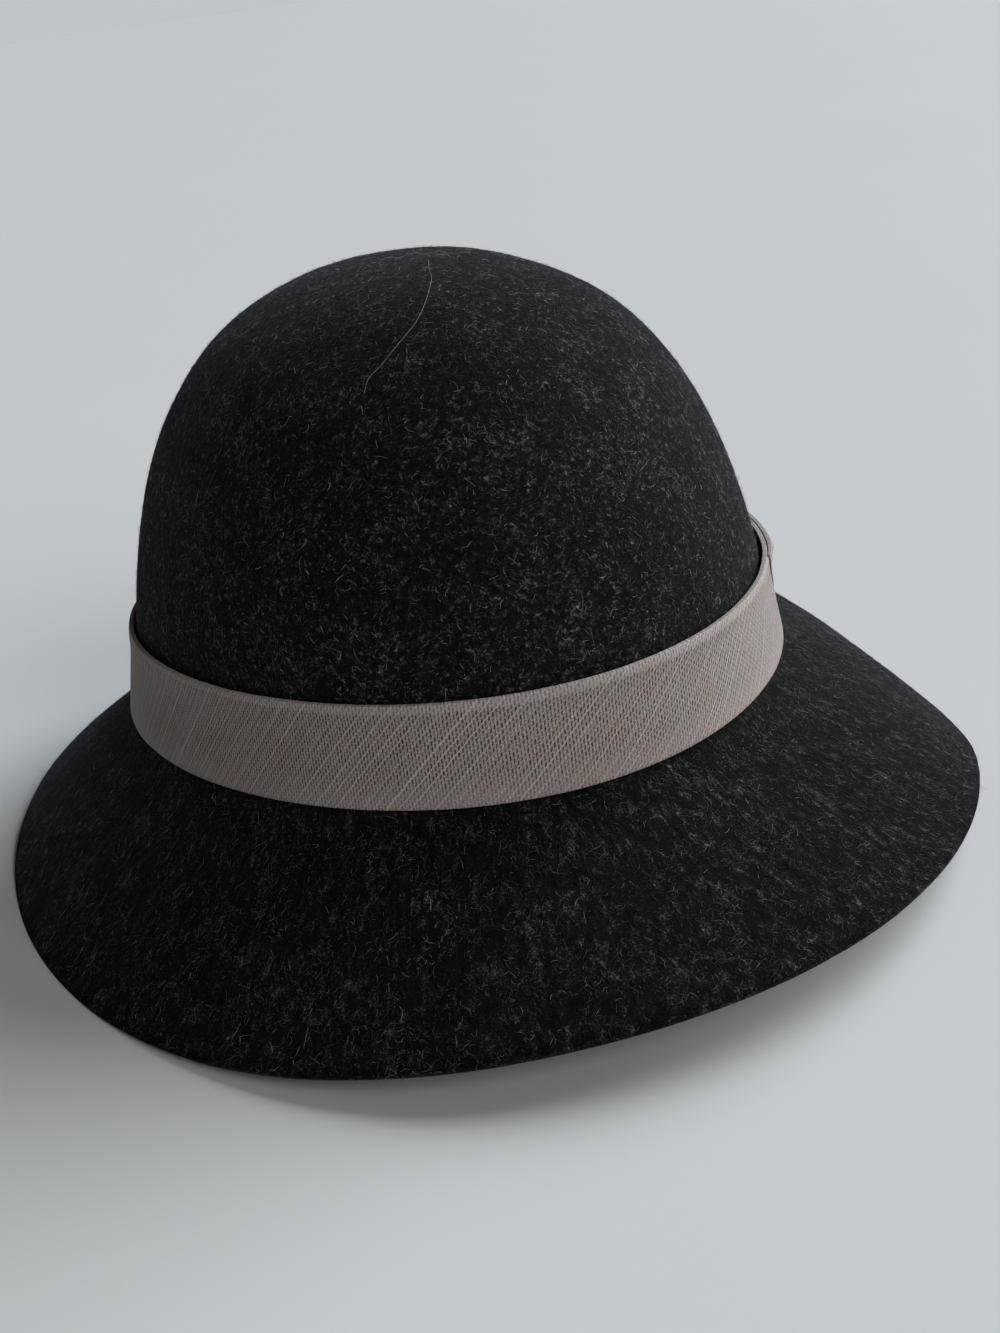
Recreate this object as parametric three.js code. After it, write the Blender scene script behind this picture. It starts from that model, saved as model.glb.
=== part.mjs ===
// Cloche hat: a one-piece wool felt hood (domed crown and down-turned brim) with a bias ribbon band.
// Millimetres, +Z up. The wearer faces -Y, and the wearer's left side is +X.
// The hat stands on the rim of its brim, and the origin is the bottom centre of its bounding box.

import * as THREE from 'three';

// --- Driving dimensions ---------------------------------------------------------------------------

const HEAD_HALF_WIDTH = 90;        // outside of the ribbon at the foot of the crown, side to side
const HEAD_HALF_LENGTH = 101;      // the same, front to back
const EGG = 0.085;                 // how much wider the head oval is at the back than at the front
const FELT_THICKNESS = 2.2;

const CROWN_HEIGHT = 110.5;        // from the foot of the crown to its highest point
const CROWN_TOP_BACK = 3;          // the highest point lies this far behind the middle of the crown's base
const CROWN_ROUNDNESS = 0.95;      // power of the side profile's half-width: 1 is an ellipse
const CROWN_FULLNESS = 0.84;       // power of the side profile's height: below 1 fills the shoulders
const CROWN_SHOULDER = -0.055;     // extra width at the shoulders, as a share of the half-width

const BAND_HEIGHT = 24.5;          // ribbon, measured upright
const BAND_FRONT_RISE = 1.5;       // its top edge is higher at the front and lower at the back by this
const BAND_LEAN_SIDE = 5;          // the crown narrows by this from the band's foot to its top, each side
const BAND_LEAN_END = 2;           // the same at the front and at the back
const BAND_TOP_FORWARD = 3;        // the oval of the band's top lies this far in front of its foot
const FELT_IN_AT_FOOT = 1.25;      // felt inside the ribbon's outer line, at its foot
const FELT_IN_AT_TOP = 1.6;        // and at its top edge, where the ribbon stands off the felt
const CROWN_IN_SIDE = 3;           // higher up, the crown's sides are this far inside that line
const CROWN_IN_END = 2.4;          // and its front and back this far
const CROWN_FLARE_HEIGHT = 11;     // height over which the crown comes in from the one to the other

const LAP_START = 70.5;            // degrees round from the front, middle of the ribbon's free end
const LAP_LENGTH = 28;             // degrees of ribbon that lie double
const LAP_RAMP = 10;               // degrees over which the upper layer comes down to the felt
const LAP_GAP = 0.35;              // between the two layers
const END_SLANT = 17;              // degrees from the top corner of a ribbon end to its bottom corner
const END_SLANT_REACH = 30;        // degrees over which the sections turn upright again, away from an end

const BRIM_START_DROP = 72;        // slope below level where the brim leaves the crown, degrees
const BRIM_TURN_LENGTH = 5.5;      // distance over which that slope eases into the brim's own
const REST_PITCH = -1.15;          // degrees: the hat tips back by this on the surface
const REST_FLATTENING = 2.3;       // how far the lowest part of the brim's cut edge is pressed flat

// Brim: around = degrees from the front towards the wearer's left, width along the felt, droop = its mean
// slope in degrees, curl = degrees by which it steepens from its inner to its outer edge.
const BRIM_SECTIONS = [
  { around: 0, width: 64, droop: 21, curl: 4 },
  { around: 45, width: 60, droop: 25.5, curl: 5 },
  { around: 90, width: 56, droop: 38.8, curl: 28 },
  { around: 135, width: 51.5, droop: 33.8, curl: 62 },
  { around: 180, width: 46, droop: 27.5, curl: 26 },
  { around: 225, width: 48, droop: 31, curl: 6 },
  { around: 270, width: 56.5, droop: 38.5, curl: 4 },
  { around: 315, width: 64, droop: 32.5, curl: 4 },
];

// Crown: shallow hand-blocked unevenness. up = degrees above the crown's base, spread in degrees,
// out = how far the felt stands out (or in, if negative).
const CROWN_DENTS = [
  { around: 280, up: 18, spread: 28, out: -2 },
  { around: 300, up: 70, spread: 22, out: -0.5 },
  { around: 70, up: 66, spread: 22, out: -1.3 },
  { around: 75, up: 45, spread: 20, out: 0.8 },
];

const DENTS_FROM = 20;             // degrees above the base where the dents reach their full depth

// Ribbon section from foot to top: up = share of the height, out = outer face outside the band's own
// line, thick = ribbon thickness there. The top edge is folded over, so it is the thickest.
const RIBBON_SECTION = [
  { up: 0, out: -0.05, thick: 0.8 },
  { up: 0.2, out: 0, thick: 0.9 },
  { up: 0.4, out: 0.05, thick: 0.9 },
  { up: 0.6, out: 0.05, thick: 0.9 },
  { up: 0.8, out: 0.15, thick: 1 },
  { up: 0.93, out: 0.8, thick: 1.7 },
  { up: 1, out: 0.5, thick: 1.2 },
];

// --- Mesh resolution ------------------------------------------------------------------------------

const AROUND_STEPS = 80;
const CROWN_STEPS = 12;
const WALL_STEPS = 2;
const BRIM_STEPS = 8;
const BRIM_SUBSTEPS = 6;           // integration steps inside each brim step
const BRIM_STEP_GROWTH = 1.5;      // brim steps are closer together near the crown
const RIBBON_STEP = 4.5;           // degrees

// --- Small helpers --------------------------------------------------------------------------------

const radians = THREE.MathUtils.degToRad;
const mix = THREE.MathUtils.lerp;
const up = new THREE.Vector3(0, 0, 1);

function direction(around, upAngle = 0) {
  const a = radians(around);
  const u = radians(upAngle);
  return new THREE.Vector3(Math.sin(a) * Math.cos(u), -Math.cos(a) * Math.cos(u), Math.sin(u));
}

// Egg-shaped oval: a point of the ring with the given half-width and half-length.
function oval(halfWidth, halfLength, around) {
  const a = radians(around);
  const widening = 1 - EGG * Math.cos(a);
  return new THREE.Vector3(halfWidth * Math.sin(a) * widening, -halfLength * Math.cos(a), 0);
}

// Level outward normal of the head oval.
function ovalNormal(around) {
  const step = 0.5;
  const before = oval(HEAD_HALF_WIDTH, HEAD_HALF_LENGTH, around - step);
  const after = oval(HEAD_HALF_WIDTH, HEAD_HALF_LENGTH, around + step);
  return after.sub(before).normalize().cross(up);
}

// Value of a table column at any angle, by a smooth closed curve through its evenly spaced rows.
function tableValue(rows, column, around) {
  const spacing = 360 / rows.length;
  const place = (((around % 360) + 360) % 360) / spacing;
  const first = Math.floor(place);
  const t = place - first;
  const at = (k) => rows[(first + k + rows.length) % rows.length][column];
  const slopeIn = (at(1) - at(-1)) / 2;
  const slopeOut = (at(2) - at(0)) / 2;
  const rise = at(1) - at(0);
  return at(0) + slopeIn * t + (3 * rise - 2 * slopeIn - slopeOut) * t ** 2
    + (slopeIn + slopeOut - 2 * rise) * t ** 3;
}

// Solid sheet between an outer and an inner grid of points, each a list of rows from top to bottom.
// A first row of one point is a pole. A ring closes on itself, and any other sheet has end faces.
function thickSheet(outer, inner, isRing) {
  const positions = [];
  const addRow = (row) => row.map((point) => positions.push(point.x, point.y, point.z) / 3 - 1);
  const outerRows = outer.map(addRow);
  const innerRows = inner.map(addRow);
  const columns = outer[outer.length - 1].length;
  const spans = isRing ? columns : columns - 1;
  const at = (row, j) => (row.length === 1 ? row[0] : row[j % columns]);
  const faces = [];
  const addTriangle = (a, b, c) => {
    if (a !== b && b !== c && c !== a) faces.push(a, b, c);
  };
  const addQuad = (a, b, c, d) => {
    addTriangle(a, b, d);
    addTriangle(b, c, d);
  };
  for (let j = 0; j < spans; j += 1) {
    for (let i = 0; i + 1 < outerRows.length; i += 1) {
      const [top, bottom] = [outerRows[i], outerRows[i + 1]];
      addQuad(at(top, j), at(bottom, j), at(bottom, j + 1), at(top, j + 1));
      const [innerTop, innerBottom] = [innerRows[i], innerRows[i + 1]];
      addQuad(at(innerTop, j), at(innerTop, j + 1), at(innerBottom, j + 1), at(innerBottom, j));
    }
    const [outerFoot, innerFoot] = [outerRows.at(-1), innerRows.at(-1)];
    addQuad(at(outerFoot, j), at(innerFoot, j), at(innerFoot, j + 1), at(outerFoot, j + 1));
    if (outerRows[0].length > 1) {
      addQuad(at(outerRows[0], j), at(outerRows[0], j + 1), at(innerRows[0], j + 1), at(innerRows[0], j));
    }
  }
  if (!isRing) {
    for (let i = 0; i + 1 < outerRows.length; i += 1) {
      const [top, bottom, innerTop, innerBottom] = [outerRows[i], outerRows[i + 1], innerRows[i], innerRows[i + 1]];
      addQuad(top[0], innerTop[0], innerBottom[0], bottom[0]);
      addQuad(top.at(-1), bottom.at(-1), innerBottom.at(-1), innerTop.at(-1));
    }
  }
  const geometry = new THREE.BufferGeometry();
  geometry.setAttribute('position', new THREE.Float32BufferAttribute(positions, 3));
  geometry.setIndex(faces);
  geometry.computeVertexNormals();
  return geometry;
}

// --- Felt hood ------------------------------------------------------------------------------------

const bandTopHeight = (around) => BAND_HEIGHT + BAND_FRONT_RISE * Math.cos(radians(around));

function dentAt(around, upAngle) {
  const here = direction(around, upAngle);
  let out = 0;
  for (const dent of CROWN_DENTS) {
    const away = THREE.MathUtils.radToDeg(here.angleTo(direction(dent.around, dent.up)));
    out += dent.out * Math.exp(-((away / dent.spread) ** 2));
  }
  return here.multiplyScalar(out * THREE.MathUtils.smoothstep(upAngle, 0, DENTS_FROM));
}

// Outer face of the crown. upAngle runs from 0 at the band's top edge to 90 at the highest point.
function crownPoint(around, upAngle) {
  const u = radians(upAngle);
  const reach = Math.max(Math.cos(u), 0) ** CROWN_ROUNDNESS * (1 + CROWN_SHOULDER * Math.sin(2 * u));
  const rise = Math.sin(u) ** CROWN_FULLNESS;
  const flare = Math.exp((-rise * (CROWN_HEIGHT - BAND_HEIGHT)) / CROWN_FLARE_HEIGHT);
  const halfWidth = HEAD_HALF_WIDTH - BAND_LEAN_SIDE - mix(CROWN_IN_SIDE, FELT_IN_AT_TOP, flare);
  const halfLength = HEAD_HALF_LENGTH - BAND_LEAN_END - mix(CROWN_IN_END, FELT_IN_AT_TOP, flare);
  const point = oval(halfWidth * reach, halfLength * reach, around);
  point.y += CROWN_TOP_BACK * rise - BAND_TOP_FORWARD;
  point.z = mix(BAND_HEIGHT, CROWN_HEIGHT, rise);
  return point.add(dentAt(around, upAngle));
}

// Foot of the crown, where the brim begins, under the ribbon's bottom edge.
function footPoint(around) {
  const foot = oval(HEAD_HALF_WIDTH, HEAD_HALF_LENGTH, around);
  return foot.addScaledVector(ovalNormal(around), -FELT_IN_AT_FOOT);
}

// Outer face of the brim at one angle, from the foot of the crown out to the rim.
function brimPoints(around) {
  const width = tableValue(BRIM_SECTIONS, 'width', around);
  const droop = tableValue(BRIM_SECTIONS, 'droop', around);
  const curl = tableValue(BRIM_SECTIONS, 'curl', around);
  const outward = ovalNormal(around);
  const points = [];
  const point = footPoint(around);
  let travelled = 0;
  for (let step = 1; step <= BRIM_STEPS; step += 1) {
    const target = width * (step / BRIM_STEPS) ** BRIM_STEP_GROWTH;
    const length = (target - travelled) / BRIM_SUBSTEPS;
    for (let part = 0; part < BRIM_SUBSTEPS; part += 1) {
      const along = travelled + length / 2;
      const turning = (BRIM_START_DROP - droop) * Math.exp(-along / BRIM_TURN_LENGTH);
      const slope = radians(droop + turning + curl * (along / width - 0.5));
      point.addScaledVector(outward, length * Math.cos(slope));
      point.z -= length * Math.sin(slope);
      travelled += length;
    }
    points.push(point.clone());
  }
  return points;
}

// Outer face of the hood at one angle, from just below the highest point down to the rim.
function hoodProfile(around) {
  const points = [];
  for (let step = CROWN_STEPS - 1; step >= 0; step -= 1) {
    points.push(crownPoint(around, (90 * step) / CROWN_STEPS));
  }
  const base = points.at(-1);
  const foot = footPoint(around);
  for (let step = 1; step <= WALL_STEPS; step += 1) {
    points.push(base.clone().lerp(foot, step / WALL_STEPS));
  }
  return points.concat(brimPoints(around));
}

// The same face one felt thickness further in, along each point's normal.
function innerFace(rows) {
  return rows.map((row, i) => row.map((point, j) => {
    if (row.length === 1) return point.clone().addScaledVector(up, -FELT_THICKNESS);
    const above = rows[i - 1].length === 1 ? rows[i - 1][0] : rows[i - 1][j];
    const below = (rows[i + 1] ?? row)[j];
    const before = row[(j - 1 + row.length) % row.length];
    const after = row[(j + 1) % row.length];
    const downhill = below.clone().sub(above);
    const normal = downhill.cross(after.clone().sub(before)).normalize();
    return point.clone().addScaledVector(normal, -FELT_THICKNESS);
  }));
}

// Tips the hat back to the angle it rests at.
const restTurn = new THREE.Matrix4().makeRotationX(radians(REST_PITCH));

function makeHood() {
  const profiles = [];
  for (let j = 0; j < AROUND_STEPS; j += 1) {
    profiles.push(hoodProfile((360 * j) / AROUND_STEPS));
  }
  const rings = profiles[0].map((_, i) => profiles.map((profile) => profile[i]));
  const outer = [[crownPoint(0, 90)], ...rings];
  const inner = innerFace(outer);
  for (const point of [...outer, ...inner].flat()) point.applyMatrix4(restTurn);
  const lowest = Math.min(...inner.at(-1).map((point) => point.z));
  const surface = lowest + REST_FLATTENING;
  for (const point of [...outer, ...inner].flat()) point.z = Math.max(point.z, surface);
  return { geometry: thickSheet(outer, inner, true), surface };
}

// --- Ribbon band ----------------------------------------------------------------------------------

// 1 where the ribbon lies on top of its own start, 0 where it lies on the felt, and a slope between.
// travel is degrees along the ribbon from its free end.
function lapShare(travel) {
  const down = (travel - LAP_LENGTH - END_SLANT / 2) / LAP_RAMP;
  return 1 - THREE.MathUtils.smoothstep(down, 0, 1);
}

// Degrees by which a ribbon section leans at its foot: both ends are cut slanting.
function slantAt(travel, travelTotal) {
  const fromEnd = Math.min(travel, travelTotal - travel);
  return END_SLANT * (1 - THREE.MathUtils.smoothstep(fromEnd / END_SLANT_REACH, 0, 1));
}

// Outer face line of the band: share 0 is its foot, 1 its top edge.
function bandPoint(around, share, out) {
  const foot = oval(HEAD_HALF_WIDTH, HEAD_HALF_LENGTH, around);
  const top = oval(HEAD_HALF_WIDTH - BAND_LEAN_SIDE, HEAD_HALF_LENGTH - BAND_LEAN_END, around);
  top.y -= BAND_TOP_FORWARD;
  top.z = bandTopHeight(around);
  return foot.lerp(top, share).addScaledVector(ovalNormal(around), out);
}

function makeBand() {
  const rowsTopToFoot = [...RIBBON_SECTION].reverse();
  const travelTotal = 360 + LAP_LENGTH;
  const steps = Math.ceil(travelTotal / RIBBON_STEP);
  const outer = rowsTopToFoot.map(() => []);
  const inner = rowsTopToFoot.map(() => []);
  for (let j = 0; j <= steps; j += 1) {
    const travel = (travelTotal * j) / steps;
    rowsTopToFoot.forEach(({ up: share, out, thick }, i) => {
      const slant = slantAt(travel, travelTotal) * (0.5 - share);
      const around = LAP_START + travel + slant;
      const lifted = out + lapShare(travel + slant) * (thick + LAP_GAP);
      outer[i].push(bandPoint(around, share, lifted).applyMatrix4(restTurn));
      inner[i].push(bandPoint(around, share, lifted - thick).applyMatrix4(restTurn));
    });
  }
  return thickSheet(outer, inner, false);
}

// --- Assembly -------------------------------------------------------------------------------------

const felt = new THREE.MeshStandardMaterial({ color: 0x232427, roughness: 0.95, metalness: 0 });
const ribbon = new THREE.MeshStandardMaterial({ color: 0x8a827d, roughness: 0.8, metalness: 0 });

const hood = makeHood();
const feltHood = new THREE.Mesh(hood.geometry, felt);
feltHood.name = 'felt_hood';
const hatBand = new THREE.Mesh(makeBand(), ribbon);
hatBand.name = 'hat_band';

const hat = new THREE.Group();
hat.add(feltHood, hatBand);
const middle = new THREE.Box3().setFromObject(hat).getCenter(new THREE.Vector3());
hat.position.set(-middle.x, -middle.y, -hood.surface);

export default hat;
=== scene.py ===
"""Looks of the cloche hat: felt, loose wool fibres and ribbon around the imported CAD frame.
Metres, +Z up, the wearer faces -Y and +X is the wearer's left."""

import math

import bmesh
import bpy
import numpy as np
from mathutils import Matrix, Vector, noise
from mathutils.bvhtree import BVHTree


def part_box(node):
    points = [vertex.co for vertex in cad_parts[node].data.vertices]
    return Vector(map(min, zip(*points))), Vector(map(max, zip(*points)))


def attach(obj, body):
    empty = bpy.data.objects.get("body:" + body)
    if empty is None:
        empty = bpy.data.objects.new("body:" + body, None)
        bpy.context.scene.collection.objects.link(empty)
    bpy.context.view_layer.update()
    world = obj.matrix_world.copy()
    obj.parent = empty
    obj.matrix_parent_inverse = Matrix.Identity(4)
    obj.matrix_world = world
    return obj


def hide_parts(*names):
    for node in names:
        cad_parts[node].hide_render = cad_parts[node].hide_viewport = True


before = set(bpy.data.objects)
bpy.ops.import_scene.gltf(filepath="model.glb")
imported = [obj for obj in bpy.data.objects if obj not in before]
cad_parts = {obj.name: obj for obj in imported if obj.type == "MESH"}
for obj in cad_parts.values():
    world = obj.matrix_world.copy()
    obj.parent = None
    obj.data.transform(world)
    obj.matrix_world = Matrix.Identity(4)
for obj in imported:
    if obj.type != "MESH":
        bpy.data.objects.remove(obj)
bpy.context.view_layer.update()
MM = 0.001

# Camera: it looks at a point near the crown's foot, from in front, above and the wearer's right.
LOOK_HEIGHT = 40.0 * MM
CAMERA_AZIMUTH = math.radians(-15.0)
CAMERA_ELEVATION = math.radians(22.148)
CAMERA_ROLL = math.radians(7.993)
CAMERA_DISTANCE = 462.74 * MM
LOOK_RIGHT = 8.60 * MM
LOOK_UP = -4.22 * MM
LENS = 45.91

# Felt shape: the CAD surface refined, with shallow hand-blocked swells and a little roughness.
FELT_LEVELS = 2
RIM_CREASE = 0.55
SHARP_ANGLE = math.radians(50)
UNEVEN_SIZE = 24 * MM
UNEVEN_DEPTH = 0.3 * MM
ROUGH_SIZE = 2.2 * MM
ROUGH_DEPTH = 0.1 * MM
REST_KEEP = 0.4 * MM            # below this height the felt stays as the CAD has it, where it rests
REST_FREE = 6 * MM              # above this height it is free to swell
CENTRE_DEPTH = 50 * MM          # the swells point away from a spot this far under the floor
BRIM_TOP = 46 * MM
BRIM_FADE = 8 * MM              # height over which the crown's grain turns into the brim's

# Felt look. The crown's grain has no direction; the brim's is drawn out down the slope.
CROWN_GRAIN_SCALE = 620
BRIM_GRAIN_SCALE = 0.62
GRAIN_DETAIL = (6, 0.72)
FLOW_RADIUS = 100.0
FLOW_STRETCH = 0.3
CLOUDS = (75, 3, 0.6)
CLOUD_WEIGHT = 0.22
DOTS = (1900, 3, 0.6)
DOT_WEIGHT = 0.62
DOT_HEIGHT = 0.5
# painted shade: share by which the brim's colour is darkened, standing in for less light on it
BRIM_PAINTED_SHADE = 0.3
FELT_STOPS = [
    (0.30, (0.0030, 0.0030, 0.0028)),
    (0.47, (0.0060, 0.0060, 0.0056)),
    (0.58, (0.0105, 0.0106, 0.0103)),
    (0.68, (0.0560, 0.0565, 0.0560)),
    (0.82, (0.2200, 0.2200, 0.2180)),
]
FELT_BUMP = (0.85, 0.6 * MM)

# Ribbon shape
RIBBON_LEVELS = 3
RIBBON_CREASE = 0.7
RIBBON_RADIUS = 96.6 * MM
RIBBON_WAVE_SIZE = 17 * MM
RIBBON_WAVE_DEPTH = 0.12 * MM
AROUND_BINS = 180               # stretches in which the height of the ribbon's foot is measured
END_AROUND = (math.radians(58), math.radians(84))
END_FACING = -0.55              # a face turned this far back along the ribbon is part of the cut end
PRESS_LENGTH = 9 * MM           # the ribbon thins over this length towards its free end
PRESS_TO = 0.3                  # share of its thickness left at the end
PRESS_NEAR = 1.4 * MM
PRESS_IN = 0.2 * MM
PRESS_ROUNDS = 40

# Ribbon look: lengths in mm along and up the ribbon.
BIAS_SLOPE = math.radians(47)
WEAVE_WOBBLE = 0.5
WOBBLE_NOISE = {"Scale": 0.5, "Detail": 2.0}
CELL_HEIGHT = 1.55              # the weave is drawn in cells, each a dark gap with yarn round it
CELL_WIDTH = 0.82
CELL_YARN = 0.22
GAP_SOFTNESS = 0.2
GAP_BIAS = -0.2
LIGHTEST_GAP = 0.4              # share of the yarn's colour in the lightest gap, before the bias
LINE_SPACING = 2.25
LINE_DRIFT = 1.1
DRIFT_NOISE = (0.21, 2, 0.6)
STRENGTH_NOISE = (0.9, 0, 0.5)
LINE_STRENGTH = (1.3, 0.25)     # here and below, pairs are a gain and what is added to it
LINE_ON_THREADS = (0.6, 0.4)
LINE_STITCHED = (0.25, 0.75)
LINE_HEIGHT = 1.2
LINE_EDGE = (0.80, 0.985)       # heights of a sine wave between which a line fades in
LINE_WEIGHT = 0.62
LINE_COLOUR = (0.62, 0.58, 0.55)
STITCH_LENGTH = 0.95
YARN_PATCHES = (0.13, 3, 0.55)
YARN_STOPS = [
    (0.34, (0.350, 0.262, 0.238)),
    (0.47, (0.338, 0.280, 0.263)),
    (0.56, (0.318, 0.284, 0.268)),
    (0.68, (0.345, 0.275, 0.270)),
]
SPECKLE = (3.0, 2, 0.7)
SPECKLE_SHADE = (2.0, 0.02)
GAP_COLOUR = (0.03, 0.026, 0.025)
GAP_DEPTH = (0.42, 0.52)
SMOOTH_FOOT = (1.0, 9.0)        # heights over which the lower part's smoother weave turns rougher
# painted highlight on the ribbon's folded upper edge, where light catches the fold
FOLD_HIGHLIGHT = (23.4, 24.2)        # heights over which the upper edge turns paler
FOLD_HIGHLIGHT_SHARE = 0.3
FOLD_HIGHLIGHT_COLOUR = (0.47, 0.43, 0.41)
RIBBON_BUMP = (0.6, 0.16 * MM)

# Loose fibres: spread is in degrees from the slope's direction, and lift is how far a tip can stand
# off the felt.
FIBRES = {
    "crown_fibres": {"count": 66000, "spread": 60, "length": 1.1 * MM, "width": 0.045 * MM,
                     "lift": 0.75 * MM},
    "brim_fibres": {"count": 62000, "spread": 52, "length": 1.25 * MM, "width": 0.038 * MM,
                    "lift": 0.4 * MM},
    "inner_fibres": {"count": 20000, "spread": 60, "length": 1.6 * MM, "width": 0.06 * MM,
                     "lift": 0.3 * MM},
}
BAND_ROOM = 1.3 * MM            # no fibre starts closer to the ribbon than this
CLUSTER_SIZE = 7 * MM
CLUSTER_SHARE = 0.62            # share of the fibres kept where the patches are of middling density
CLUSTER_GAIN = 1.3
CLUSTER_LEAST = 0.12
LENGTH_SPREAD = 0.45
BEND_SPREAD = 0.3
ROLL = 1.2
WIDTH_RANGE = (0.6, 1.4)
TIP_BEND = (-0.5, 1.5)
ARCH = 0.7                      # height of a fibre's middle as a share of its tip's
ROOT_HEIGHT = 0.02 * MM
MIDDLE_HEIGHT = 0.05 * MM
TAPER = (0.7, 1.0, 0.35)        # width at root, middle and tip
LIGHT_WOOL_RANGE = ((0.012, 0.012, 0.012), (0.54, 0.54, 0.53))
BRIM_WOOL_RANGE = ((0.008, 0.008, 0.008), (0.38, 0.38, 0.37))

# Stray hairs: points as (x, y) in mm on the crown.
LONG_HAIR = [(4.2, -3.9), (2.2, -11.0), (1.0, -16.8), (-2.8, -26.2), (-7.9, -33.9), (-13.7, -39.1),
             (-19.2, -41.8), (-23.3, -43.3), (-25.8, -45.9)]
SHORT_HAIR = [(-5.6, 5.9), (2.4, 6.3), (10.0, 5.4), (17.0, 2.8)]
HAIR_STEPS = 60
HAIR_SIDES = 5
HAIR_LIFT = 0.3 * MM
HAIR_WAVE = 0.37
HAIR_WIDTH = 0.075 * MM
HAIR_RANGE = ((0.33, 0.27, 0.235), (0.37, 0.31, 0.27))
OVER_HAT = 0.3

# Studio. Lights come from a place given as right, away and up, as the camera sees them.
FLOOR_RADII = (0.4, 2.0, 10.0, 60.0)
FLOOR_SIDES = 64
FLOOR_PATCHES = (3.0, 2)
FLOOR_STOPS = [(0.3, (0.665, 0.67, 0.67)), (0.7, (0.675, 0.675, 0.67))]
PALE = (0.538, 0.561, 0.578)
LIGHTS = {
    "window_light": {"place": (1.0, 0.58, 0.66), "strength": 4.1, "angle": 50,
                     "colour": (0.875, 0.945, 0.99)},
    "front_light": {"place": (0.95, -1.0, 0.62), "strength": 1.5, "angle": 40,
                    "colour": (1.0, 0.97, 0.94)},
    "warm_fill": {"place": (-0.9, -1.0, 0.35), "strength": 0.06, "angle": 40,
                  "colour": (1.0, 0.8, 0.62)},
}
WORLD_LIGHT = 0.05
WORLD_COLOUR = (0.95, 0.97, 1.0)

SEED = 11


def link(obj):
    bpy.context.scene.collection.objects.link(obj)
    return obj


def refined_copy(node, name, levels, crease):
    """A smooth, finer copy of a CAD node's mesh, with its sharp edges only slightly rounded."""
    bm = bmesh.new()
    bm.from_mesh(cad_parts[node].data)
    bmesh.ops.remove_doubles(bm, verts=bm.verts, dist=1e-6)
    bmesh.ops.join_triangles(
        bm, faces=bm.faces, angle_face_threshold=0.7, angle_shape_threshold=math.pi
    )
    bmesh.ops.recalc_face_normals(bm, faces=bm.faces)
    layer = bm.edges.layers.float.new("crease_edge")
    for edge in bm.edges:
        if len(edge.link_faces) == 2 and edge.calc_face_angle() > SHARP_ANGLE:
            edge[layer] = crease
    coarse = bpy.data.meshes.new(name + "_coarse")
    bm.to_mesh(coarse)
    bm.free()
    obj = link(bpy.data.objects.new(name, coarse))
    modifier = obj.modifiers.new("refine", "SUBSURF")
    modifier.levels = levels
    modifier.render_levels = levels
    shaped = obj.evaluated_get(bpy.context.evaluated_depsgraph_get())
    fine = bpy.data.meshes.new_from_object(shaped)
    obj.modifiers.clear()
    obj.data = fine
    fine.name = name
    for attribute in [a for a in fine.attributes if a.name in ("crease_edge", "custom_normal")]:
        fine.attributes.remove(attribute)
    fine.shade_smooth()
    return obj


def coordinates(mesh):
    co = np.empty(len(mesh.vertices) * 3)
    mesh.vertices.foreach_get("co", co)
    return co.reshape(-1, 3)


def set_coordinates(mesh, co):
    mesh.vertices.foreach_set("co", co.ravel())
    mesh.update()


def point_attribute(mesh, name, values):
    kind = "FLOAT_VECTOR" if values.ndim == 2 else "FLOAT"
    attribute = mesh.attributes.new(name, kind, "POINT")
    attribute.data.foreach_set("vector" if values.ndim == 2 else "value", values.ravel())


def noise_at(co, size, seed):
    return np.array([noise.noise(Vector(p) / size + Vector((seed, 0, 0))) for p in co])


def smooth(a, b, x):
    t = np.clip((x - a) / (b - a), 0, 1)
    return t * t * (3 - 2 * t)


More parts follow.
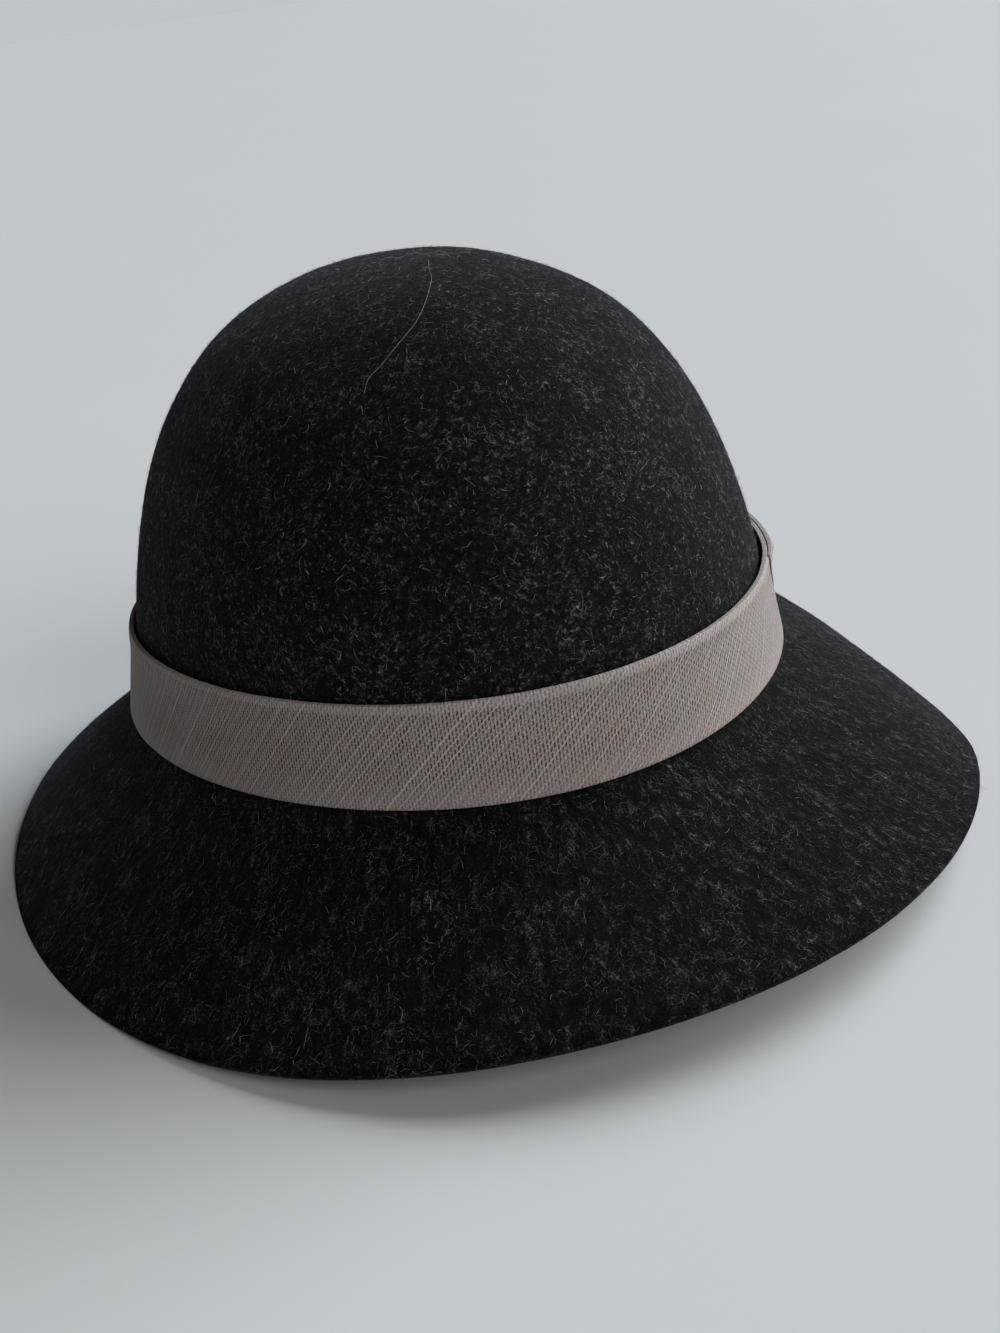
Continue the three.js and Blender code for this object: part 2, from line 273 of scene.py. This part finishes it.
# ---------------------------------------------------------------- shader nodes
class Graph:
    """A material's node tree, with short ways to add and join nodes."""

    def __init__(self, name):
        self.material = bpy.data.materials.new(name)
        self.material.use_nodes = True
        self.nodes = self.material.node_tree.nodes
        self.links = self.material.node_tree.links
        self.shader = self.nodes["Principled BSDF"]

    def add(self, kind, inputs=None, **settings):
        node = self.nodes.new("ShaderNode" + kind)
        for key, value in settings.items():
            setattr(node, key, value)
        for key, value in (inputs or {}).items():
            self.put(node.inputs[key], value)
        return node

    def put(self, socket, value):
        if isinstance(value, bpy.types.NodeSocket):
            self.links.new(value, socket)
        else:
            socket.default_value = value

    def math(self, operation, a, b=0.0, c=0.0, clamp=False):
        return self.add("Math", {0: a, 1: b, 2: c}, operation=operation, use_clamp=clamp).outputs[0]

    def noise(self, vector, scale, detail=3.0, roughness=0.5, **settings):
        values = {"Scale": scale, "Detail": detail, "Roughness": roughness}
        key = "W" if settings.get("noise_dimensions") == "1D" else "Vector"
        values[key] = vector
        return self.add("TexNoise", values, **settings).outputs["Fac"]

    def ramp(self, value, stops):
        node = self.add("ValToRGB", {"Fac": value})
        elements = node.color_ramp.elements
        while len(elements) < len(stops):
            elements.new(0.5)
        for element, (place, colour) in zip(elements, stops):
            element.position = place
            element.color = (*colour, 1)
        return node.outputs["Color"]

    def mix(self, share, a, b, blend="MIX"):
        node = self.add("Mix", data_type="RGBA", blend_type=blend)
        self.put(node.inputs["Factor"], share)
        for socket, value in zip((node.inputs[6], node.inputs[7]), (a, b)):
            self.put(socket, value if isinstance(value, bpy.types.NodeSocket) else (*value, 1))
        return node.outputs[2]

    def grey(self, value):
        return self.add("CombineColor", {0: value, 1: value, 2: value}).outputs[0]

    def fade(self, value, low, high, top=1.0):
        """0 below low, rising smoothly to top at high."""
        limits = {"Value": value, "From Min": low, "From Max": high, "To Max": top}
        return self.add("MapRange", limits, interpolation_type="SMOOTHSTEP").outputs[0]

    def attribute(self, name, output="Vector"):
        return self.add("Attribute", attribute_name=name).outputs[output]

    def bump(self, height, strength, distance, normal=None):
        values = {"Height": height, "Strength": strength, "Distance": distance}
        if normal is not None:
            values["Normal"] = normal
        return self.add("Bump", values).outputs["Normal"]

    def finish(self, colour, normal=None, roughness=0.9, **values):
        self.put(self.shader.inputs["Base Color"], colour)
        self.put(self.shader.inputs["Roughness"], roughness)
        if normal is not None:
            self.put(self.shader.inputs["Normal"], normal)
        for key, value in values.items():
            self.put(self.shader.inputs[key.replace("_", " ")], value)
        return self.material


def felt_material():
    """Charcoal wool with lighter wool mixed in, with painted shade darkening the brim."""
    g = Graph("charcoal_heather_felt")
    place = g.add("TexCoord").outputs["Object"]
    flow = g.attribute("flow")
    brim = g.attribute("brim", "Fac")
    crown_grain = g.noise(place, CROWN_GRAIN_SCALE, *GRAIN_DETAIL)
    brim_grain = g.noise(flow, BRIM_GRAIN_SCALE, *GRAIN_DETAIL)
    grain = g.math("ADD", g.math("MULTIPLY", g.math("SUBTRACT", 1.0, brim), crown_grain),
                   g.math("MULTIPLY", brim, brim_grain))
    clouds = g.noise(place, *CLOUDS)
    dots = g.noise(place, *DOTS)
    value = g.math("ADD", grain, g.math("MULTIPLY", g.math("SUBTRACT", clouds, 0.5), CLOUD_WEIGHT))
    value = g.math("ADD", value, g.math("MULTIPLY", g.math("SUBTRACT", dots, 0.5), DOT_WEIGHT))
    colour = g.ramp(value, FELT_STOPS)
    # painted shade: the brim's colour is made darker, standing in for less light falling on it
    shade = g.math("MULTIPLY_ADD", brim, -BRIM_PAINTED_SHADE, 1.0)
    colour = g.mix(1.0, colour, g.grey(shade), "MULTIPLY")
    normal = g.bump(g.math("ADD", grain, g.math("MULTIPLY", dots, DOT_HEIGHT)), *FELT_BUMP)
    return g.finish(colour, normal, roughness=0.95, Sheen_Weight=0.09, Sheen_Roughness=0.25,
                    Sheen_Tint=(0.86, 0.84, 1.0, 1), Specular_IOR_Level=0.05)


def fibre_material(name, dark, light):
    """Each fibre has its own shade: most are dark, and a few are light."""
    g = Graph(name)
    random = g.add("NewGeometry").outputs["Random Per Island"]
    colour = g.ramp(g.math("POWER", random, 4.0), [(0.0, dark), (1.0, light)])
    return g.finish(colour, roughness=0.7, Specular_IOR_Level=0.25, Sheen_Weight=0.35,
                    Sheen_Roughness=0.5)


def ribbon_material():
    """Warm grey yarn in a steep twill of dark gaps, crossed by pale bias lines."""
    g = Graph("bias_ribbon_weave")
    place = g.attribute("ribbon")
    wobble = g.add("TexNoise", {"Vector": place, **WOBBLE_NOISE}).outputs["Color"]
    wobble = g.add("VectorMath", {0: wobble, 1: (0.5, 0.5, 0.5)}, operation="SUBTRACT").outputs[0]
    wobble = g.add("VectorMath", {0: wobble, "Scale": WEAVE_WOBBLE}, operation="SCALE").outputs[0]
    bent = g.add("VectorMath", {0: place, 1: wobble}, operation="ADD").outputs[0]
    axes = g.add("SeparateXYZ", {0: bent})
    along, up = axes.outputs[0], axes.outputs[1]
    # threads: 1 on yarn and less in the short upright gaps, which climb a step from column to column
    climb = g.math("MULTIPLY_ADD", along, -math.tan(BIAS_SLOPE), up)
    swapped = g.add("CombineXYZ", {0: climb, 1: along}).outputs[0]
    brick = g.add("TexBrick", {
        "Vector": swapped, "Scale": 1.0, "Mortar Size": CELL_YARN, "Mortar Smooth": GAP_SOFTNESS,
        "Bias": GAP_BIAS, "Brick Width": CELL_HEIGHT, "Row Height": CELL_WIDTH,
        "Color1": (0, 0, 0, 1), "Color2": (LIGHTEST_GAP, LIGHTEST_GAP, LIGHTEST_GAP, 1),
        "Mortar": (1, 1, 1, 1),
    }, offset=0.0)
    threads = brick.outputs["Color"]
    # bias lines: they rise towards the wearer's left along the steps, at uneven spacing
    across = g.math("SUBTRACT", g.math("MULTIPLY", up, math.cos(BIAS_SLOPE)),
                    g.math("MULTIPLY", along, math.sin(BIAS_SLOPE)))
    down = g.math("ADD", g.math("MULTIPLY", up, math.sin(BIAS_SLOPE)),
                  g.math("MULTIPLY", along, math.cos(BIAS_SLOPE)))
    drift = g.noise(across, *DRIFT_NOISE, noise_dimensions="1D")
    beat = g.math("MULTIPLY_ADD", drift, LINE_DRIFT, g.math("DIVIDE", across, LINE_SPACING))
    wave = g.math("SINE", g.math("MULTIPLY", beat, 2 * math.pi))
    strength = g.noise(across, *STRENGTH_NOISE, noise_dimensions="1D")
    strength = g.math("MULTIPLY_ADD", strength, *LINE_STRENGTH, clamp=True)
    line_mask = g.math("MULTIPLY", g.fade(wave, *LINE_EDGE), strength)
    line_mask = g.math("MULTIPLY", line_mask, g.math("MULTIPLY_ADD", threads, *LINE_ON_THREADS))
    stitches = g.math("SINE", g.math("MULTIPLY", down, 2 * math.pi / STITCH_LENGTH))
    line_mask = g.math("MULTIPLY", line_mask, g.math("MULTIPLY_ADD", stitches, *LINE_STITCHED))
    # patches of slightly different yarn
    patches = g.noise(place, *YARN_PATCHES)
    yarn = g.ramp(patches, YARN_STOPS)
    speckle = g.noise(place, *SPECKLE)
    shade = g.math("MULTIPLY_ADD", speckle, *SPECKLE_SHADE)
    yarn = g.mix(1.0, yarn, g.grey(shade), "MULTIPLY")
    # the lower part is smoother and a little lighter than the rest
    depth = g.math("MULTIPLY_ADD", g.fade(up, *SMOOTH_FOOT), *GAP_DEPTH)
    dark = g.mix(depth, yarn, GAP_COLOUR)
    colour = g.mix(threads, dark, yarn)
    colour = g.mix(g.math("MULTIPLY", line_mask, LINE_WEIGHT), colour, LINE_COLOUR)
    # painted highlight: the folded upper edge is painted paler, where light catches the fold
    colour = g.mix(g.fade(up, *FOLD_HIGHLIGHT, FOLD_HIGHLIGHT_SHARE), colour, FOLD_HIGHLIGHT_COLOUR)
    height = g.math("ADD", threads, g.math("MULTIPLY", line_mask, LINE_HEIGHT))
    normal = g.bump(height, *RIBBON_BUMP)
    return g.finish(colour, normal, roughness=0.68, Sheen_Weight=0.12, Sheen_Roughness=0.35,
                    Specular_IOR_Level=0.3)


# ---------------------------------------------------------------- felt
hood = refined_copy("felt_hood", "wool_felt_hood", FELT_LEVELS, RIM_CREASE)
BAND_LOW, BAND_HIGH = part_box("hat_band")
AXIS_Y = (BAND_LOW.y + BAND_HIGH.y) / 2
INNER_POINT = np.array([0.0, AXIS_Y, -CENTRE_DEPTH])

co = coordinates(hood.data)
outward = co - INNER_POINT
outward /= np.linalg.norm(outward, axis=1)[:, None]
swell = noise_at(co, UNEVEN_SIZE, SEED) * UNEVEN_DEPTH
roughness = noise_at(co, ROUGH_SIZE, SEED + 5) * ROUGH_DEPTH
free = smooth(REST_KEEP, REST_FREE, co[:, 2])
co = co + outward * ((swell + roughness) * free)[:, None]
co[:, 2] = np.maximum(co[:, 2], 0)
set_coordinates(hood.data, co)

around = np.arctan2(co[:, 0], AXIS_Y - co[:, 1])
radius = np.hypot(co[:, 0], co[:, 1] - AXIS_Y)
flow = np.c_[np.cos(around) * FLOW_RADIUS, np.sin(around) * FLOW_RADIUS,
             (radius - co[:, 2]) / MM * FLOW_STRETCH]
point_attribute(hood.data, "flow", flow)
point_attribute(hood.data, "brim", 1 - smooth(BRIM_TOP - BRIM_FADE, BRIM_TOP, co[:, 2]))
hood.data.materials.clear()
hood.data.materials.append(felt_material())

# ---------------------------------------------------------------- ribbon


def pressed_end(mesh, co):
    """The ribbon with its free end pressed thinner and onto the layer below."""
    around = np.arctan2(co[:, 0], AXIS_Y - co[:, 1])
    radius = np.hypot(co[:, 0], co[:, 1] - AXIS_Y)
    distance = np.full(len(co), np.inf)
    for face in mesh.polygons:
        a = around[list(face.vertices)].mean()
        if END_AROUND[0] < a < END_AROUND[1]:
            if face.normal.dot(Vector((math.cos(a), math.sin(a), 0))) < END_FACING:
                distance[list(face.vertices)] = 0
    pairs = np.array([edge.vertices for edge in mesh.edges])
    length = np.linalg.norm(co[pairs[:, 0]] - co[pairs[:, 1]], axis=1)
    for _ in range(PRESS_ROUNDS):
        for a, b in ((0, 1), (1, 0)):
            np.minimum.at(distance, pairs[:, b], distance[pairs[:, a]] + length)
    near = np.nonzero(distance < PRESS_LENGTH)[0]
    spot = np.c_[around[near] * RIBBON_RADIUS, co[near, 2]]
    inner = np.array([radius[near[np.hypot(*(spot - q).T) < PRESS_NEAR]].min() for q in spot])
    share = smooth(0, PRESS_LENGTH, distance[near])
    kept = PRESS_TO + (1 - PRESS_TO) * share
    wanted = inner + (radius[near] - inner) * kept - PRESS_IN * (1 - share)
    scale = wanted / radius[near]
    co[near, 0] *= scale
    co[near, 1] = AXIS_Y + (co[near, 1] - AXIS_Y) * scale
    return co


band = refined_copy("hat_band", "bias_ribbon_band", RIBBON_LEVELS, RIBBON_CREASE)
co = coordinates(band.data)
outward = co - np.array([0, AXIS_Y, 0])
outward[:, 2] = 0
outward /= np.linalg.norm(outward, axis=1)[:, None]
around = np.arctan2(co[:, 0], AXIS_Y - co[:, 1])
co = co + outward * (noise_at(co, RIBBON_WAVE_SIZE, SEED + 9) * RIBBON_WAVE_DEPTH)[:, None]
co = pressed_end(band.data, co)
set_coordinates(band.data, co)
bins = np.floor((around + math.pi) / (2 * math.pi) * AROUND_BINS).astype(int) % AROUND_BINS
foot = np.array([co[bins == i, 2].min() for i in range(AROUND_BINS)])
foot = np.convolve(np.r_[foot[-2:], foot, foot[:2]], np.ones(5) / 5, "valid")
place = (around + math.pi) / (2 * math.pi) * AROUND_BINS - 0.5
foot_here = np.interp(place, np.arange(-1, AROUND_BINS + 1), np.r_[foot[-1], foot, foot[0]])
weave = np.c_[around * RIBBON_RADIUS / MM, (co[:, 2] - foot_here) / MM, np.zeros(len(co))]
point_attribute(band.data, "ribbon", weave)
band.data.materials.clear()
band.data.materials.append(ribbon_material())

# ---------------------------------------------------------------- loose fibres
rng = np.random.default_rng(SEED)
hood.data.calc_loop_triangles()
corners = np.empty(len(hood.data.loop_triangles) * 3, int)
hood.data.loop_triangles.foreach_get("vertices", corners)
TRIANGLES = coordinates(hood.data)[corners.reshape(-1, 3)]
CROSS = np.cross(TRIANGLES[:, 1] - TRIANGLES[:, 0], TRIANGLES[:, 2] - TRIANGLES[:, 0])
AREA = np.linalg.norm(CROSS, axis=1) / 2
FACE_NORMAL = CROSS / np.maximum(2 * AREA, 1e-15)[:, None]
MIDDLE = TRIANGLES.mean(1)
OUTER = ((MIDDLE - INNER_POINT) * FACE_NORMAL).sum(1) > 0
ON_BRIM = MIDDLE[:, 2] < BRIM_TOP - BRIM_FADE
band_tree = BVHTree.FromPolygons(
    coordinates(band.data).tolist(), [p.vertices for p in band.data.polygons]
)


def scatter(count, keep):
    """Points in loose patches over the kept triangles, with their normals, none under the band."""
    share = AREA * keep
    picked = rng.choice(len(AREA), count, p=share / share.sum())
    a, b = rng.random((2, count))
    flip = a + b > 1
    a, b = np.where(flip, 1 - a, a), np.where(flip, 1 - b, b)
    corner = TRIANGLES[picked]
    points = (corner[:, 0] + (corner[:, 1] - corner[:, 0]) * a[:, None]
              + (corner[:, 2] - corner[:, 0]) * b[:, None])
    near = (points[:, 2] > BAND_LOW.z - BAND_ROOM) & (points[:, 2] < BAND_HIGH.z + BAND_ROOM)
    patch = noise_at(points, CLUSTER_SIZE, SEED + 20)
    good = rng.random(count) < np.clip(CLUSTER_SHARE + patch * CLUSTER_GAIN, CLUSTER_LEAST, 1)
    for i in np.nonzero(near & good)[0]:
        good[i] = band_tree.find_nearest(Vector(points[i]), BAND_ROOM)[0] is None
    return points[good], FACE_NORMAL[picked][good]


def unit(v):
    return v / np.maximum(np.linalg.norm(v, axis=1), 1e-12)[:, None]


def fibres(name, keep, material, count, spread, length, width, lift):
    """One mesh of short curved fibres lying on the felt, more or less brushed down the slope."""
    p, normal = scatter(count, keep)
    n = len(p)
    slope = p - np.array([0, AXIS_Y, 0])
    slope[:, 2] = -np.hypot(p[:, 0], p[:, 1] - AXIS_Y)
    slope = unit(slope - normal * (slope * normal).sum(1)[:, None])
    side = np.cross(normal, slope)
    turn = np.radians(rng.normal(0, spread, n)) + np.pi * (rng.random(n) < 0.5)
    along = slope * np.cos(turn)[:, None] + side * np.sin(turn)[:, None]
    across = np.cross(normal, along)
    size = length * rng.lognormal(0, LENGTH_SPREAD, n)
    bend = rng.normal(0, BEND_SPREAD, n) * size
    rise = lift * rng.random(n) ** 3
    roll = rng.uniform(-ROLL, ROLL, n)
    flat = across * np.cos(roll)[:, None] + normal * np.sin(roll)[:, None]
    half = (width / 2 * rng.uniform(*WIDTH_RANGE, n))[:, None]
    base = p + normal * ROOT_HEIGHT
    middle = base + along * (size / 2)[:, None] + across * bend[:, None]
    middle += normal * (rise * ARCH + MIDDLE_HEIGHT)[:, None]
    tip = base + along * size[:, None] + across * (bend * rng.uniform(*TIP_BEND, n))[:, None]
    tip += normal * rise[:, None]
    rows = []
    for centre, share in zip((base, middle, tip), TAPER):
        rows += [centre - flat * half * share, centre + flat * half * share]
    vertices = np.stack(rows, 1).reshape(-1, 3)
    vertices[:, 2] = np.maximum(vertices[:, 2], 0)
    first = (np.arange(n) * 6)[:, None]
    faces = np.concatenate([first + [0, 1, 3, 2], first + [2, 3, 5, 4]], 1).reshape(-1, 4)
    mesh = bpy.data.meshes.new(name)
    mesh.from_pydata(vertices.tolist(), [], faces.tolist())
    mesh.materials.append(material)
    obj = link(bpy.data.objects.new(name, mesh))
    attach(obj, "root")
    return obj


def stray_hair(name, places, width, material):
    """A long loose hair on the crown, through points given as (x, y), lying on the felt."""
    polygons = [polygon.vertices for polygon in hood.data.polygons]
    tree = BVHTree.FromPolygons(coordinates(hood.data).tolist(), polygons)
    knots = np.array(places) * MM
    steps = np.linspace(0, len(knots) - 1, HAIR_STEPS)
    curve = np.c_[catmull(knots[:, 0], steps), catmull(knots[:, 1], steps)]
    line = []
    for i, (x, y) in enumerate(curve):
        hit, normal = tree.ray_cast(Vector((x, y, OVER_HAT)), Vector((0, 0, -1)))[:2]
        line.append(hit + normal * HAIR_LIFT * (1 + math.sin(i * HAIR_WAVE)))
    vertices, faces = [], []
    for i, point in enumerate(line):
        along = (line[min(i + 1, len(line) - 1)] - line[max(i - 1, 0)]).normalized()
        side = along.cross(Vector((0, 0, 1))).normalized()
        over = side.cross(along)
        for k in range(HAIR_SIDES):
            a = 2 * math.pi * k / HAIR_SIDES
            vertices.append(point + (side * math.cos(a) + over * math.sin(a)) * width / 2)
            if i:
                b, n = (i - 1) * HAIR_SIDES, (k + 1) % HAIR_SIDES
                faces.append((b + k, b + n, b + HAIR_SIDES + n, b + HAIR_SIDES + k))
    mesh = bpy.data.meshes.new(name)
    mesh.from_pydata(vertices, [], faces)
    mesh.materials.append(material)
    mesh.shade_smooth()
    obj = link(bpy.data.objects.new(name, mesh))
    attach(obj, "root")


def catmull(values, steps):
    """Values of a smooth curve through the knots, at the given steps."""
    padded = np.r_[2 * values[0] - values[1], values, 2 * values[-1] - values[-2]]
    i = np.minimum(steps.astype(int), len(values) - 2)
    t = steps - i
    a, b, c, d = padded[i], padded[i + 1], padded[i + 2], padded[i + 3]
    return b + 0.5 * t * (c - a + t * (2 * a - 5 * b + 4 * c - d + t * (3 * (b - c) + d - a)))


LIGHT_WOOL = fibre_material("light_wool_fibre", *LIGHT_WOOL_RANGE)
BRIM_WOOL = fibre_material("brim_wool_fibre", *BRIM_WOOL_RANGE)
BROWN_HAIR = fibre_material("brown_hair", *HAIR_RANGE)
fibres("crown_fibres", OUTER & ~ON_BRIM, LIGHT_WOOL, **FIBRES["crown_fibres"])
fibres("brim_fibres", OUTER & ON_BRIM, BRIM_WOOL, **FIBRES["brim_fibres"])
fibres("inner_fibres", ~OUTER, LIGHT_WOOL, **FIBRES["inner_fibres"])
stray_hair("stray_hair_long", LONG_HAIR, HAIR_WIDTH, BROWN_HAIR)
stray_hair("stray_hair_short", SHORT_HAIR, HAIR_WIDTH, BROWN_HAIR)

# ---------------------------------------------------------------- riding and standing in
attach(hood, "root")
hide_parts("felt_hood")
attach(band, "root")
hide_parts("hat_band")

# ---------------------------------------------------------------- camera
sin_a, cos_a = math.sin(CAMERA_AZIMUTH), math.cos(CAMERA_AZIMUTH)
sin_e, cos_e = math.sin(CAMERA_ELEVATION), math.cos(CAMERA_ELEVATION)
back = Vector((sin_a * cos_e, -cos_a * cos_e, sin_e))
right = Vector((cos_a, sin_a, 0))
up = back.cross(right)
target = Vector((0, 0, LOOK_HEIGHT)) + right * LOOK_RIGHT + up * LOOK_UP
camera_x = right * math.cos(CAMERA_ROLL) - up * math.sin(CAMERA_ROLL)
camera_y = back.cross(camera_x)
view = Matrix((camera_x, camera_y, back)).transposed().to_4x4()
view.translation = target + back * CAMERA_DISTANCE
camera = link(bpy.data.objects.new("camera", bpy.data.cameras.new("camera")))
camera.matrix_world = view
camera.data.lens = LENS
camera.data.clip_start = 0.01
bpy.context.scene.camera = camera

# ---------------------------------------------------------------- floor and light


def studio_floor():
    """A wide, flat, pale floor."""
    vertices = [(0, 0, 0)]
    for r in FLOOR_RADII:
        turns = [2 * math.pi * k / FLOOR_SIDES for k in range(FLOOR_SIDES)]
        vertices += [(r * math.cos(a), r * math.sin(a), 0) for a in turns]
    faces = [(0, 1 + k, 1 + (k + 1) % FLOOR_SIDES) for k in range(FLOOR_SIDES)]
    for i in range(len(FLOOR_RADII) - 1):
        a, b = 1 + i * FLOOR_SIDES, 1 + (i + 1) * FLOOR_SIDES
        for k in range(FLOOR_SIDES):
            n = (k + 1) % FLOOR_SIDES
            faces.append((a + k, b + k, b + n, a + n))
    mesh = bpy.data.meshes.new("studio_floor")
    mesh.from_pydata(vertices, [], faces)
    g = Graph("pale_studio_floor")
    soft = g.noise(g.add("TexCoord").outputs["Object"], *FLOOR_PATCHES)
    mesh.materials.append(g.finish(g.ramp(soft, FLOOR_STOPS), roughness=0.85))
    floor = link(bpy.data.objects.new("studio_floor", mesh))


def soft_light(name, place, strength, angle, colour):
    """An even light from far away, wide enough to give soft shadows."""
    data = bpy.data.lights.new(name, "SUN")
    data.energy = strength
    data.angle = math.radians(angle)
    data.color = colour
    lamp = link(bpy.data.objects.new(name, data))
    towards = right * place[0] + Vector((-sin_a, cos_a, 0)) * place[1] + Vector((0, 0, place[2]))
    lamp.rotation_euler = towards.to_track_quat("Z", "Y").to_euler()


def studio_world(light):
    """A dim even light on the object, with a pale colour where the camera sees past the floor."""
    world = bpy.data.worlds.new("studio")
    world.use_nodes = True
    tree = world.node_tree
    plain = tree.nodes["Background"]
    plain.inputs["Color"].default_value = (*WORLD_COLOUR, 1)
    plain.inputs["Strength"].default_value = light
    pale = tree.nodes.new("ShaderNodeBackground")
    pale.inputs["Color"].default_value = (*PALE, 1)
    pale.inputs["Strength"].default_value = 1.0
    path = tree.nodes.new("ShaderNodeLightPath")
    mix = tree.nodes.new("ShaderNodeMixShader")
    tree.links.new(path.outputs["Is Camera Ray"], mix.inputs[0])
    tree.links.new(plain.outputs[0], mix.inputs[1])
    tree.links.new(pale.outputs[0], mix.inputs[2])
    tree.links.new(mix.outputs[0], tree.nodes["World Output"].inputs["Surface"])
    bpy.context.scene.world = world


studio_floor()
for name, light in LIGHTS.items():
    soft_light(name, **light)
studio_world(WORLD_LIGHT)
bpy.context.scene.view_settings.view_transform = "Standard"
